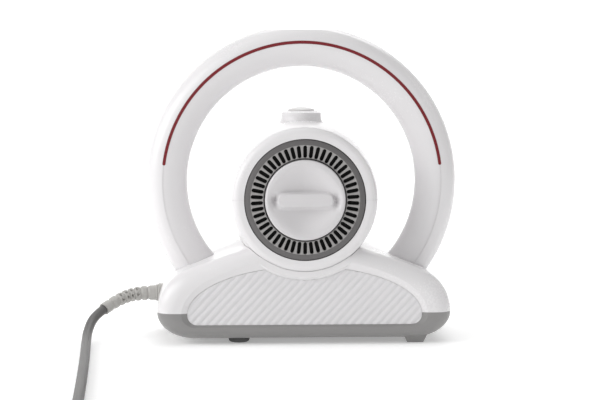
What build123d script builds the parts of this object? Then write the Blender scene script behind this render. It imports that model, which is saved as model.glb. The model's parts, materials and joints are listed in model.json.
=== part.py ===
from build123d import *
from math import asin, cos, pi, radians, sin, sqrt, tan
import os

# A boot dryer: a fan heater in a round hub, cradled on an arched base, under a ring that is its handle.
# Millimetres. X runs to the right, Y to the back, Z up from the floor. The hub and the ring lie about Y.

os.makedirs("parts", exist_ok=True)

# Walls and clearances
wall = 2.5
slip_gap = 0.3  # between two pieces that slip together
bearing_gap = 0.05  # radial, between a shaft and the hole it turns in
seam_width = 0.5  # the shadow line where two shells meet
seam_depth = 0.4

# Base
base_half_width = 110.8
base_half_depth = 57.5
base_underside = 4.0  # height of the pan's underside, on its feet
split_height = 24.0  # where the housing meets the pan, at the base's widest
shoulder_radius = 34.0  # of the arch's rounded shoulders, above the split
roof_radius = 1000.0  # of its nearly straight flanks, between the shoulders and the hub
roof_tilt = 21.0  # of the flanks where they leave the shoulders
corner_width = 28.5  # of the pan's rounded lower corners
edge_radius = 13.0  # along the front and back edges

# Ribbed panels, one in the front face and one in the back
panel_half_width = 88.0
panel_rise = 36.0
panel_foot = 15.2
panel_corner = 7.5
panel_scallop = 60.4  # radius about the hub's axis
panel_thickness = 1.6
bevel_width = 4.5
bevel_depth = 1.8
rib_pitch = 4.7
rib_width = 2.6
rib_height = 0.6
rib_angle = 47.0

# Ring
ring_height = 120.0  # of its centre
ring_outer = 119.6
ring_inner = 88.0
ring_ridge = 106.5  # radius of its two ridges, where the two bands meet
ring_half_depth = 17.0
ring_wall = 2.4
ring_foot = 46.0  # height at which its legs end, inside the housing
ring_flat = 116.2  # height of the flat on its crown, above its centre
strip_width = 2.3
strip_depth = 1.0
strip_ends = 7.5  # degrees above the horizontal
crown_plate_length = 42.0
crown_plate_width = 12.0
crown_plate_thickness = 1.0
lens_spacing = 21.0
lens_length = 5.0
lens_width = 2.4

# Hub
hub_height = 109.0
hub_radius = 58.2  # at its middle
hub_end_radius = 53.5  # at its front and back, before their rounded noses
hub_half_depth = 60.0
nose_radius = 5.3
mouth_radius = 45.5  # of the round openings at its front and back
flange_radius = 48.0  # of the covers' flanges, behind the mouths
flange_thickness = 2.0

# Intake grille, with the dial in its middle
slot_count = 50
slot_inner = 31.7
slot_outer = 40.2
slot_width = 2.5
dial_radius = 30.0
dial_gap = 0.6
dial_front = 63.0  # distance of its rim in front of the hub's middle
dial_back = 52.0
dish_radius = 25.0
dish_depth = 5.5
bar_length = 42.0
bar_width = 11.0
filter_thickness = 1.5

# Timer
spindle_radius = 3.0
spindle_seat = 5.0
timer_size = 34.0
timer_depth = 20.0
timer_front = 49.0
spider_thickness = 2.5
spoke_width = 7.0

# Fan
duct_bore = 37.5
duct_wall = 1.8
duct_front = -23.0
duct_back = 17.0
motor_radius = 15.0
motor_length = 22.0
motor_screw_radius = 1.3
motor_screw_length = 7.0
shaft_radius = 1.6
fan_radius = 36.0
fan_hub_radius = 17.0
fan_front = 5.0
fan_depth = 11.0
blade_count = 9
blade_thickness = 1.6
blade_pitch = 32.0

# Heater
heater_front = 19.0
heater_depth = 12.0
heater_width = 58.0
heater_tall = 40.0
ceramic_count = 3
ceramic_thickness = 3.0
fin_pitch = 3.0
fin_thickness = 0.5
cutout_radius = 5.0

# Outlets at the back
outlet_bore = 15.0
outlet_wall = 2.3
outlet_spacing = 42.0
outlet_length = 24.5
outlet_front = 36.0
outlet_shoulder = 2.5
guard_pitch = 4.6
guard_slot = 2.8

# Push button on the hub's crown
boss_radius = 15.4
boss_foot_radius = 23.6
boss_top = 172.6  # of its shoulder, from which it rises to the button
boss_rise = 1.6
button_radius = 10.2
button_top = 177.0
button_dome = 2.0
button_flange = 12.2
button_travel = 2.0
button_foot = 161.3
button_flange_thickness = 1.6
switch_board_height = 149.5
switch_board_thickness = 1.6
spring_wire = 0.8
spring_radius = 6.4
spring_turns = 4
switch_post_place = 16.0  # to each side of the button
switch_post_radius = 2.0

# Control board in the base
board_length = 96.0
board_width = 56.0
board_thickness = 1.6
board_height = 13.0
board_screw_length = 8.0
post_radius = 3.2
board_blocks = [  # relay, bridge, capacitor and the harness's plug: X, Y, length, width, height
    (-12.0, 6.0, 20.0, 15.0, 16.0),
    (14.0, 14.0, 18.0, 8.0, 12.0),
    (2.0, -16.0, 14.0, 10.0, 9.0),
    (20.0, -14.0, 10.0, 9.0, 7.0),
]
board_cans = [(30.0, 4.0, 5.0, 14.0), (40.0, -8.0, 4.0, 11.0), (-16.0, -14.0, 7.5, 10.0)]
terminal_place = (-36.0, 6.0)
terminal_height = 12.0
wire_radius = 1.3
wire_spacing = 9.0
lead_length = 22.0
harness_radius = 3.0
harness_route = [
    (20.0, -14.0, 21.7),
    (20.0, -14.2, 30.0),
    (20.0, -34.0, 43.0),
    (20.0, -34.2, 64.0),
    (15.0, -35.5, 78.0),
]

# Cord entry, on the left flank
entry_height = 32.0
entry_back = 12.0  # behind the middle
collar_radius = 7.4
collar_face = 111.2  # distance of its end from the middle
collar_length = 9.0
relief_radius = 5.9
relief_tip_radius = 4.7
relief_flange_radius = 6.6
relief_flange_thickness = 1.6
relief_neck_radius = 5.0
clamp_place = 92.0  # to the left of the middle
clamp_length = 8.0
clamp_width = 22.0
clamp_foot = 26.0
clamp_height = 13.0
cord_diameter = 7.2

# Feet and screws
foot_radius = 8.0
foot_place = (49.0, 36.0)
block_foot_place = (84.0, 44.0)
block_foot_length = 17.6
block_foot_width = 11.0
block_foot_draft = 24.0
screw_radius = 1.6
screw_head_radius = 3.0
pan_screw_place = (70.0, 36.0)
pan_screw_length = 26.0
shell_screw_place = (47.0, 9.0)
shell_screw_length = 18.0
cradle_screw_place = 40.0  # in front of and behind the hub's middle
cradle_screw_length = 12.0

# Mains cord, from the tip of its strain relief to the coil that it is stored in
relief_route = [
    (-collar_face - relief_flange_thickness, entry_back, entry_height),
    (-126.0, 12.0, 32.0),
    (-141.5, 6.5, 28.0),
    (-152.5, -5.0, 21.3),
]
cord_route = [
    (-152.5, -5.0, 21.3),
    (-159.98, -12.82, 16.744),
    (-163.6, -32.0, 8.0),
    (-163.3, -54.0, 3.7),
    (-161.6, -92.0, 3.6),
    (-159.7, -134.0, 3.6),
    (-158.0, -176.0, 3.6),
    (-156.4, -218.0, 3.6),
    (-155.0, -258.0, 3.6),
    (-153.6, -300.0, 3.6),
    (-152.6, -342.0, 3.6),
    (-152.3, -384.0, 4.2),
    (-152.7, -424.0, 4.6),
]
coil_centre = (-107.0, -441.0)
coil_inner = 28.0
coil_outer = 49.6
coil_foot = 0.9
coil_height = 14.4
tail_route = [
    (-105.0, -486.4, 11.4),
    (-86.0, -487.2, 9.8),
    (-66.0, -486.5, 7.6),
    (-48.0, -485.5, 10.0),
    (-34.0, -485.5, 10.0),
]
tie_width = 9.0
tie_thickness = 0.9
plug_neck_length = 16.0
plug_neck_radius = 6.5
plug_length = 34.0
plug_width = 34.0
plug_height = 20.0
pin_radius = 2.0
pin_length = 19.0
pin_spacing = 19.0


# Places worked out from the sizes above
hub_axis = Axis((0, 0, hub_height), (0, 1, 0))
ring_axis = Axis((0, 0, ring_height), (0, 1, 0))
hub_inside = hub_radius - wall
tie_height = coil_height + 2 * tie_thickness
switch_board_top = switch_board_height + switch_board_thickness
board_top = board_height + board_thickness


def save(piece, name):
    """Labels a finished piece and writes it to its own file."""
    piece.part.label = name
    export_step(piece.part, f"parts/{name}.step")


def corners_of(place):
    """The four points that mirror one place in X and in Y."""
    across, back = place
    return [(sx * across, sy * back) for sx in (-1, 1) for sy in (-1, 1)]


# ---------------------------------------------------------------- forms that several pieces are cut from


def foot_outline(half_width, spring_height, foot, corner):
    """Draws the lower half of an outline: a flat foot with rounded corners, up to the spring of its arch."""
    drop = spring_height - foot
    low_left = EllipticalCenterArc((corner - half_width, spring_height), corner, drop, 180, arc_size=90)
    low_right = EllipticalCenterArc((half_width - corner, spring_height), corner, drop, 270, arc_size=90)
    Line(low_left @ 1, low_right @ 0)


def base_arch(inset):
    """Draws the base's arch: a round shoulder and a nearly straight flank on each side, up to its ridge."""
    shoulder = Vector(base_half_width - shoulder_radius, split_height)
    tilt = Vector(sin(radians(roof_tilt)), cos(radians(roof_tilt)))
    flank = shoulder - tilt * (roof_radius - shoulder_radius)
    reach = roof_radius - inset
    ridge = (0, flank.Y + sqrt(reach**2 - flank.X**2))
    for side in (-1, 1):
        centre = (side * shoulder.X, shoulder.Y)
        CenterArc(centre, shoulder_radius - inset, 90 - side * 90, side * (90 - roof_tilt))
        top = shoulder + tilt * (shoulder_radius - inset)
        middle_turn = (asin(-flank.X / reach) + radians(roof_tilt)) / 2
        middle = flank + Vector(sin(middle_turn), cos(middle_turn)) * reach
        ThreePointArc((side * top.X, top.Y), (side * middle.X, middle.Y), ridge)


def base_form(inset):
    """The whole base, arch and pan together, set in by a distance all round."""
    with BuildPart() as form:
        with BuildSketch(Plane.XZ):
            with BuildLine():
                base_arch(inset)
                foot_outline(
                    base_half_width - inset, split_height, base_underside + inset, corner_width - inset
                )
            make_face()
        extrude(amount=base_half_depth - inset, both=True)
        fillet(form.faces().filter_by(Axis.Y).edges(), edge_radius - inset)
    return form.part


def panel_outline(grow):
    """The ribbed panel's outline in its front view, grown all round."""
    with BuildSketch() as outline:
        with BuildLine():
            spring = panel_foot + panel_corner
            EllipticalCenterArc(
                (0, spring), panel_half_width + grow, panel_rise + grow * 1.4, 0, arc_size=180
            )
            foot_outline(panel_half_width + grow, spring, panel_foot - grow * 0.6, panel_corner + grow)
        make_face()
        with Locations((0, hub_height)):
            Circle(panel_scallop - grow * 0.45, mode=Mode.SUBTRACT)
    return outline.sketch


def recess_form():
    """What is cut from the base's front face to seat a panel: the bevel, then the pocket behind it."""
    bevel_floor = base_half_depth - bevel_depth
    with BuildPart() as form:
        with BuildSketch(Plane.XZ.offset(base_half_depth)):
            add(panel_outline(bevel_width))
        with BuildSketch(Plane.XZ.offset(bevel_floor)):
            add(panel_outline(0.2))
        loft(ruled=True)
        with BuildSketch(Plane.XZ.offset(bevel_floor)):
            add(panel_outline(0.2))
        extrude(amount=-panel_thickness - 0.1)
    return form.part


def ring_form(grow, foot):
    """The ring as one solid, grown all round, from the height where its legs end."""
    with BuildPart() as form:
        with BuildSketch(Plane.XY.offset(ring_height)):
            with BuildLine():
                half_depth = ring_half_depth + grow
                EllipticalCenterArc(
                    (ring_ridge, 0), ring_outer - ring_ridge + grow, half_depth, -90, arc_size=180
                )
                EllipticalCenterArc(
                    (ring_ridge, 0), ring_ridge - ring_inner + grow, half_depth, 90, arc_size=180
                )
            make_face()
        revolve(axis=ring_axis)
        split(bisect_by=Plane.XY.offset(foot), keep=Keep.TOP)
    return form.part


def hub_form(grow):
    """The hub as one barrel-shaped solid of revolution with rounded noses, grown all round."""
    middle = hub_radius + grow
    end = hub_end_radius + grow
    depth = hub_half_depth + grow
    with BuildPart() as form:
        with BuildSketch(Plane.XY.offset(hub_height)) as profile:
            with BuildLine():
                ThreePointArc((end, -depth), (middle, 0), (end, depth))
                Polyline((end, depth), (0, depth), (0, -depth), (end, -depth))
            make_face()
            fillet(profile.vertices().group_by(Axis.X)[-1], nose_radius + grow)
        revolve(axis=hub_axis)
    return form.part


def disc(radius, front, back):
    """A round solid about the hub's axis, between two distances along Y."""
    with BuildPart() as form:
        with BuildSketch(Plane.XZ.offset(-front)):
            with Locations((0, hub_height)):
                Circle(radius)
        extrude(amount=front - back)
    return form.part


def base_hollow():
    """The room inside the base, less what stands in it: screw posts, cradle, ring sockets, panel backing."""
    with BuildPart() as hollow:
        add(base_form(wall))
        add(disc(hub_radius + slip_gap + wall, -base_half_depth, base_half_depth), mode=Mode.SUBTRACT)
        add(ring_form(slip_gap + wall, ring_foot - wall), mode=Mode.SUBTRACT)
        for facing in (-1, 1):
            with BuildSketch(Plane.XZ.offset(facing * base_half_depth)):
                add(panel_outline(wall))
            extrude(amount=-facing * (bevel_depth + panel_thickness + wall), mode=Mode.SUBTRACT)
        with BuildSketch():
            with Locations(*corners_of(pan_screw_place)):
                Circle(screw_radius + wall)
        extrude(amount=hub_height, mode=Mode.SUBTRACT)
    return hollow.part


# ---------------------------------------------------------------- base

solid_base = base_form(0)
hollow_base = base_hollow()
front_recess = recess_form()
back_recess = front_recess.mirror(Plane.XZ)

with BuildPart() as base_pan:
    add(solid_base)
    add(hollow_base, mode=Mode.SUBTRACT)
    add(front_recess, mode=Mode.SUBTRACT)
    add(back_recess, mode=Mode.SUBTRACT)
    split(bisect_by=Plane.XY.offset(split_height), keep=Keep.BOTTOM)
    with BuildSketch(Plane.XY.offset(base_underside + wall / 2)):
        with GridLocations(board_length - 8, board_width - 8, 2, 2):
            Circle(post_radius)
    extrude(amount=board_height - base_underside - wall / 2)
    with BuildSketch(Plane.XY.offset(base_underside + wall - 0.2)):
        for side in (-1, 1):
            with Locations((side * block_foot_place[0], -side * block_foot_place[1])):
                Rectangle(block_foot_length, block_foot_width)
    extrude(amount=0.2 - wall - base_underside, taper=block_foot_draft)
    with BuildSketch(Plane.XY.offset(base_underside)):
        with Locations((-clamp_place, entry_back)):
            Rectangle(clamp_length, clamp_width)
    extrude(amount=clamp_foot - base_underside)
    with BuildSketch():
        with Locations(*corners_of(pan_screw_place)):
            Circle(screw_radius + 0.2)
    extrude(amount=split_height, mode=Mode.SUBTRACT)
    with BuildSketch():
        with Locations(*corners_of(pan_screw_place)):
            Circle(screw_head_radius + 0.3)
    extrude(amount=base_underside + wall, mode=Mode.SUBTRACT)
    with BuildSketch(Plane.XY.offset(board_height)):
        with GridLocations(board_length - 8, board_width - 8, 2, 2):
            Circle(screw_radius - 0.35)
    extrude(amount=-board_screw_length, mode=Mode.SUBTRACT)
save(base_pan, "base_pan")

with BuildPart() as base_housing:
    add(solid_base)
    add(hollow_base, mode=Mode.SUBTRACT)
    add(front_recess, mode=Mode.SUBTRACT)
    add(back_recess, mode=Mode.SUBTRACT)
    add(hub_form(slip_gap), mode=Mode.SUBTRACT)
    add(ring_form(slip_gap, ring_foot - slip_gap / 2), mode=Mode.SUBTRACT)
    split(bisect_by=Plane.XY.offset(split_height), keep=Keep.TOP)
    with BuildSketch(Plane.XY.offset(split_height)):
        with Locations(*corners_of(pan_screw_place)):
            Circle(screw_radius + bearing_gap)
    extrude(amount=pan_screw_length - split_height / 2, mode=Mode.SUBTRACT)
    with BuildSketch(Plane.YZ.offset(-base_half_width)):
        with Locations((entry_back, entry_height)):
            Circle(collar_radius + bearing_gap)
    extrude(amount=4 * wall, mode=Mode.SUBTRACT)
    with BuildSketch(Plane.XY.offset(split_height)):
        with Locations((0, -cradle_screw_place), (0, cradle_screw_place)):
            Circle(screw_radius + 0.2)
        with Locations(harness_route[3][:2]):
            Circle(harness_radius + slip_gap)
    extrude(amount=hub_height - split_height, mode=Mode.SUBTRACT)
save(base_housing, "base_housing")


def ribbed_panel():
    """A panel plate with slanting ribs across its whole face, in the front of the base."""
    face = base_half_depth - bevel_depth
    with BuildPart() as panel:
        with BuildSketch(Plane.XZ.offset(face)):
            add(panel_outline(0))
        extrude(amount=-panel_thickness)
        with BuildSketch(Plane.XZ.offset(face)):
            rib_spacing = rib_pitch / sin(radians(rib_angle))
            rib_total = int(3 * base_half_width / rib_spacing)
            with Locations((0, panel_foot + panel_rise / 2)):
                with GridLocations(rib_spacing, 0, rib_total, 1):
                    Rectangle(3 * panel_rise, rib_width, rotation=rib_angle)
            add(panel_outline(-0.8), mode=Mode.INTERSECT)
        extrude(amount=rib_height)
    return panel.part


panel_part = ribbed_panel()
with BuildPart() as front_panel:
    add(panel_part)
save(front_panel, "front_panel")

with BuildPart() as rear_panel:
    add(panel_part.mirror(Plane.XZ))
save(rear_panel, "rear_panel")


# ---------------------------------------------------------------- ring

ring_solid = ring_form(0, ring_foot)
crown_height = ring_height + ring_flat
strip_arc = CenterArc((0, ring_height), ring_ridge, strip_ends, 180 - 2 * strip_ends)

with BuildPart() as ring_hollow:
    add(ring_form(-ring_wall, ring_foot - 1))
    split(bisect_by=Plane.XY.offset(crown_height - crown_plate_thickness - wall), keep=Keep.BOTTOM)

with BuildPart() as ridge_cylinder:
    with BuildSketch(Plane.XZ):
        with Locations((0, ring_height)):
            Circle(ring_ridge)
    extrude(amount=ring_outer, both=True)

with BuildPart() as ridge_grooves:
    for facing in (-1, 1):
        with BuildSketch(Plane.XZ.offset(facing * (ring_half_depth - seam_depth))):
            with Locations((0, ring_height)):
                Circle(ring_ridge + seam_width / 2)
                Circle(ring_ridge - seam_width / 2, mode=Mode.SUBTRACT)
        extrude(amount=facing * wall)
        with BuildSketch(Plane.XZ.offset(facing * (ring_half_depth - strip_depth))):
            SlotArc(strip_arc, strip_width + 2 * bearing_gap)
        extrude(amount=facing * wall)

with BuildPart() as ring_outer_band:
    add(ring_solid)
    add(ring_hollow.part, mode=Mode.SUBTRACT)
    add(ridge_cylinder.part, mode=Mode.SUBTRACT)
    add(ridge_grooves.part, mode=Mode.SUBTRACT)
    split(bisect_by=Plane.XY.offset(crown_height), keep=Keep.BOTTOM)
    with BuildSketch(Plane.XY.offset(crown_height)):
        SlotOverall(crown_plate_length + 2 * bearing_gap, crown_plate_width + 2 * bearing_gap)
    extrude(amount=-crown_plate_thickness, mode=Mode.SUBTRACT)
save(ring_outer_band, "ring_outer_band")

with BuildPart() as ring_inner_band:
    add(ring_solid)
    add(ridge_cylinder.part, mode=Mode.INTERSECT)
    add(ring_hollow.part, mode=Mode.SUBTRACT)
    add(ridge_grooves.part, mode=Mode.SUBTRACT)
save(ring_inner_band, "ring_inner_band")


def accent_strip(facing):
    """A thin arc of coloured strip, laid in the groove along one ridge of the ring."""
    with BuildPart() as strip:
        with BuildSketch(Plane.XZ.offset(facing * (ring_half_depth - strip_depth))):
            SlotArc(strip_arc, strip_width)
        extrude(amount=facing * (strip_depth + 0.15))
    return strip


accent_strip_front = accent_strip(1)
save(accent_strip_front, "accent_strip_front")
accent_strip_rear = accent_strip(-1)
save(accent_strip_rear, "accent_strip_rear")

with BuildPart() as crown_plate:
    with BuildSketch(Plane.XY.offset(crown_height)):
        SlotOverall(crown_plate_length, crown_plate_width)
        with GridLocations(lens_spacing, 0, 2, 1):
            SlotOverall(lens_length + 2 * bearing_gap, lens_width + 2 * bearing_gap, mode=Mode.SUBTRACT)
    extrude(amount=-crown_plate_thickness)
save(crown_plate, "crown_plate")

with BuildPart() as indicator_lenses:
    with BuildSketch(Plane.XY.offset(crown_height + 0.1)):
        with GridLocations(lens_spacing, 0, 2, 1):
            SlotOverall(lens_length, lens_width)
    extrude(amount=-crown_plate_thickness - 0.1)
save(indicator_lenses, "indicator_lenses")


# ---------------------------------------------------------------- hub shells


def hub_hollow():
    """The room inside the hub, less the screw posts that join its two shells."""
    with BuildPart() as hollow:
        add(hub_form(-wall))
        with BuildSketch():
            with Locations(*corners_of(shell_screw_place)):
                Circle(screw_radius + 1.8)
        extrude(amount=2 * hub_height, mode=Mode.SUBTRACT)
        with BuildSketch():
            with Locations((0, -cradle_screw_place), (0, cradle_screw_place)):
                Circle(screw_radius + 1.8)
        extrude(amount=hub_height - hub_inside + cradle_screw_length - wall, mode=Mode.SUBTRACT)
    return hollow.part


with BuildPart() as hub_seam:
    add(hub_form(wall))
    add(hub_form(-seam_depth), mode=Mode.SUBTRACT)
    split(bisect_by=Plane.XY.offset(hub_height + seam_width / 2), keep=Keep.BOTTOM)
    split(bisect_by=Plane.XY.offset(hub_height - seam_width / 2), keep=Keep.TOP)

with BuildPart() as hub_skin:
    add(hub_form(0))
    add(hub_hollow(), mode=Mode.SUBTRACT)
    add(disc(mouth_radius, -2 * hub_half_depth, 2 * hub_half_depth), mode=Mode.SUBTRACT)
    add(hub_seam.part, mode=Mode.SUBTRACT)

screw_seat = hub_height - shell_screw_length * 0.65  # where the shell screws' heads bear

with BuildPart() as hub_lower_shell:
    add(hub_skin.part)
    split(bisect_by=Plane.XY.offset(hub_height), keep=Keep.BOTTOM)
    with BuildSketch():
        with Locations(*corners_of(shell_screw_place)):
            Circle(screw_radius + 0.2)
    extrude(amount=hub_height, mode=Mode.SUBTRACT)
    with BuildSketch():
        with Locations(*corners_of(shell_screw_place)):
            Circle(screw_head_radius + 0.2)
    extrude(amount=screw_seat, mode=Mode.SUBTRACT)
    with BuildSketch():
        with Locations((0, -cradle_screw_place), (0, cradle_screw_place)):
            Circle(screw_radius + bearing_gap)
        with Locations(harness_route[3][:2]):
            Circle(harness_radius + slip_gap)
    extrude(amount=hub_height - hub_inside + cradle_screw_length, mode=Mode.SUBTRACT)
save(hub_lower_shell, "hub_lower_shell")

def button_boss():
    """The flared round boss that the push button stands in, trimmed to the hub's inner face."""
    flare = boss_foot_radius - boss_radius
    flare_foot = hub_height + sqrt(hub_radius**2 - boss_foot_radius**2) - 0.5
    with BuildPart() as boss:
        with BuildSketch(Plane.XZ):
            with BuildLine():
                Polyline((0, hub_height), (boss_foot_radius, hub_height), (boss_foot_radius, flare_foot))
                CenterArc((boss_foot_radius, flare_foot + flare), flare, 180, 90)
                Polyline(
                    (boss_radius, flare_foot + flare),
                    (boss_radius, boss_top),
                    (button_radius + slip_gap, boss_top + boss_rise),
                    (0, boss_top + boss_rise),
                    (0, hub_height),
                )
            make_face()
        revolve(axis=Axis.Z)
        add(disc(hub_inside, -2 * boss_foot_radius, 2 * boss_foot_radius), mode=Mode.SUBTRACT)
    return boss.part


with BuildPart() as hub_upper_shell:
    add(hub_skin.part)
    split(bisect_by=Plane.XY.offset(hub_height), keep=Keep.TOP)
    add(button_boss())
    with BuildSketch(Plane.XY.offset(hub_height)):
        with Locations(*corners_of(shell_screw_place)):
            Circle(screw_radius + bearing_gap)
    extrude(amount=shell_screw_length / 2, mode=Mode.SUBTRACT)
    with BuildSketch(Plane.XY.offset(switch_board_top)):
        with GridLocations(2 * switch_post_place, 0, 2, 1):
            Circle(switch_post_radius)
    extrude(amount=hub_height + sqrt(hub_inside**2 - switch_post_place**2) + wall / 2 - switch_board_top)
    with BuildSketch(Plane.XY.offset(hub_height)):
        Circle(button_radius + slip_gap)
    extrude(amount=hub_height, mode=Mode.SUBTRACT)
save(hub_upper_shell, "hub_upper_shell")


# ---------------------------------------------------------------- intake and timer

grille_back = -hub_half_depth + wall + slip_gap
flange_back = grille_back + flange_thickness

with BuildPart() as intake_grille:
    add(disc(mouth_radius - slip_gap, -hub_half_depth, grille_back))
    add(disc(flange_radius, grille_back, flange_back))
    with BuildSketch(Plane.XZ.offset(hub_half_depth)):
        with Locations((0, hub_height)):
            Circle(dial_radius + dial_gap)
            with PolarLocations((slot_inner + slot_outer) / 2, slot_count, start_angle=90):
                SlotOverall(slot_outer - slot_inner, slot_width)
    extrude(amount=-2 * wall - flange_thickness, mode=Mode.SUBTRACT)
save(intake_grille, "intake_grille")

with BuildPart() as dust_filter:
    add(disc(flange_radius - 1, flange_back, flange_back + filter_thickness))
    add(disc(dial_radius + dial_gap, -hub_half_depth, 0), mode=Mode.SUBTRACT)
save(dust_filter, "dust_filter")

with BuildPart() as timer_dial:
    add(disc(dial_radius, -dial_front, -dial_back))
    fillet(timer_dial.edges().sort_by(Axis.Y)[0], 1.5)
    dish_sphere = (dish_radius**2 + dish_depth**2) / (2 * dish_depth)
    with Locations((0, -dial_front + dish_depth - dish_sphere, hub_height)):
        Sphere(dish_sphere, mode=Mode.SUBTRACT)
    with BuildSketch(Plane.XZ.offset(dial_front - dish_depth - 0.5)):
        with Locations((0, hub_height)):
            SlotOverall(bar_length, bar_width)
    extrude(amount=dish_depth + 0.5)
    bar_top = timer_dial.faces().filter_by(Axis.Y).sort_by(Axis.Y)[0:2].sort_by(SortBy.AREA)[0]
    fillet(bar_top.edges(), 2.0)
    with BuildSketch(Plane.XZ.offset(dial_back)):
        with Locations((0, hub_height)):
            Circle(spindle_radius)
    extrude(amount=spindle_seat, mode=Mode.SUBTRACT)
save(timer_dial, "timer_dial")

with BuildPart() as timer_spindle:
    add(disc(spindle_radius, -dial_back - spindle_seat, -timer_front + spindle_seat))
save(timer_spindle, "timer_spindle")

with BuildPart() as timer_body:
    with BuildSketch(Plane.XZ.offset(timer_front)):
        with Locations((0, hub_height)):
            RectangleRounded(timer_size, timer_size, 2)
    extrude(amount=-timer_depth)
    bore_end = spindle_seat - timer_front + 0.5
    add(disc(spindle_radius + bearing_gap, -dial_front, bore_end), mode=Mode.SUBTRACT)
save(timer_body, "timer_body")


def spokes(front, thickness, reach, count):
    """Flat spokes from the hub's axis out to a radius, on a plane across the hub."""
    with BuildPart() as arms:
        with BuildSketch(Plane.XZ.offset(-front)):
            with Locations((0, hub_height)):
                with PolarLocations(reach / 2, count, start_angle=45):
                    Rectangle(reach, spoke_width)
        extrude(amount=-thickness)
    return arms.part


def ring_plate(outer, inner, front, back):
    """A flat ring about the hub's axis."""
    with BuildPart() as plate:
        add(disc(outer, front, back))
        add(disc(inner, front - 1, back + 1), mode=Mode.SUBTRACT)
    return plate.part


hub_room = hub_form(-wall - slip_gap)  # what fits inside the hub's shells
spider_front = timer_depth - timer_front
with BuildPart() as timer_spider:
    add(ring_plate(hub_radius, hub_inside - 6, spider_front, spider_front + spider_thickness))
    add(hub_room, mode=Mode.INTERSECT)
    add(spokes(spider_front, spider_thickness, hub_inside - 4, 4))
    add(disc(timer_size / 2, spider_front, spider_front + spider_thickness))
save(timer_spider, "timer_spider")


# ---------------------------------------------------------------- fan

motor_front = duct_front + spider_thickness

with BuildPart() as fan_duct:
    add(ring_plate(hub_radius, duct_bore, duct_front, duct_front + duct_wall))
    add(ring_plate(hub_radius, duct_bore, duct_back - duct_wall, duct_back))
    add(hub_room, mode=Mode.INTERSECT)
    add(ring_plate(duct_bore + duct_wall, duct_bore, duct_front, duct_back))
    add(spokes(duct_front, spider_thickness, duct_bore + duct_wall / 2, 4))
    add(disc(motor_radius + 1, duct_front, motor_front))
    with BuildSketch(Plane.XZ.offset(-duct_front)):
        with Locations((0, hub_height)):
            with GridLocations(motor_radius, 0, 2, 1):
                Circle(motor_screw_radius + 0.1)
    extrude(amount=-spider_thickness, mode=Mode.SUBTRACT)
save(fan_duct, "fan_duct")

with BuildPart() as fan_motor:
    add(disc(motor_radius, motor_front, motor_front + motor_length))
    fillet(fan_motor.edges(), 1)
    add(disc(shaft_radius + bearing_gap, motor_front + 3, motor_front + 2 * motor_length), mode=Mode.SUBTRACT)
    with BuildSketch(Plane.XZ.offset(-motor_front)):
        with Locations((0, hub_height)):
            with GridLocations(motor_radius, 0, 2, 1):
                Circle(motor_screw_radius)
    extrude(amount=-motor_screw_length + spider_thickness, mode=Mode.SUBTRACT)
save(fan_motor, "fan_motor")

with BuildPart() as motor_screws:
    with BuildSketch(Plane.XZ.offset(-duct_front)) as screw_places:
        with Locations((0, hub_height)):
            with GridLocations(motor_radius, 0, 2, 1):
                Circle(motor_screw_radius)
    extrude(amount=-motor_screw_length)
    with BuildSketch(Plane.XZ.offset(-duct_front)):
        with Locations((0, hub_height)):
            with GridLocations(motor_radius, 0, 2, 1):
                Circle(2 * motor_screw_radius)
    extrude(amount=1.2)
save(motor_screws, "motor_screws")

with BuildPart() as motor_shaft:
    add(disc(shaft_radius, motor_front + 4, fan_front + fan_depth - 1))
save(motor_shaft, "motor_shaft")

with BuildPart() as impeller:
    blade_root = fan_hub_radius - wall
    blade_chord = (fan_depth - blade_thickness) / sin(radians(blade_pitch))
    for number in range(blade_count):
        turn = radians(360 * number / blade_count)
        outward = Vector(cos(turn), 0, sin(turn))
        foot = Vector(0, fan_front + fan_depth / 2, hub_height) + outward * blade_root
        sideways = Vector(-sin(turn), 0, cos(turn))
        along = sideways * cos(radians(blade_pitch)) + Vector(0, sin(radians(blade_pitch)), 0)
        with BuildSketch(Plane(origin=foot, x_dir=along, z_dir=outward)):
            Rectangle(blade_chord, blade_thickness)
        extrude(amount=fan_radius + 1 - blade_root)
    add(disc(fan_radius, fan_front, fan_front + fan_depth), mode=Mode.INTERSECT)
    add(ring_plate(fan_hub_radius, blade_root, fan_front, fan_front + fan_depth))
    add(disc(fan_hub_radius, fan_front, fan_front + wall))
    add(disc(3 * shaft_radius, fan_front, fan_front + fan_depth))
    add(disc(shaft_radius, fan_front - 1, fan_front + 2 * fan_depth), mode=Mode.SUBTRACT)
save(impeller, "impeller")


# ---------------------------------------------------------------- heater

heater_back = heater_front + heater_depth
row_height = (heater_tall - ceramic_count * ceramic_thickness) / (ceramic_count + 1)
row_pitch = row_height + ceramic_thickness

with BuildPart() as heater_frame:
    add(disc(hub_radius, heater_front, heater_back))
    add(hub_room, mode=Mode.INTERSECT)
    with BuildSketch(Plane.XZ.offset(-heater_front)):
        with Locations((0, hub_height)):
            Rectangle(heater_width, heater_tall)
    extrude(amount=-heater_depth, mode=Mode.SUBTRACT)
save(heater_frame, "heater_frame")

with BuildPart() as heater_ceramics:
    with BuildSketch(Plane.XZ.offset(-heater_front - 1)):
        with Locations((0, hub_height)):
            with GridLocations(0, row_pitch, 1, ceramic_count):
                Rectangle(heater_width, ceramic_thickness)
    extrude(amount=2 - heater_depth)
save(heater_ceramics, "heater_ceramics")

with BuildPart() as heater_fins:
    with BuildSketch(Plane.XZ.offset(-heater_front - 1)):
        with Locations((0, hub_height)):
            with GridLocations(fin_pitch, row_pitch, int(heater_width / fin_pitch), ceramic_count + 1):
                Rectangle(fin_thickness, row_height)
    extrude(amount=2 - heater_depth)
save(heater_fins, "heater_fins")

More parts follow.
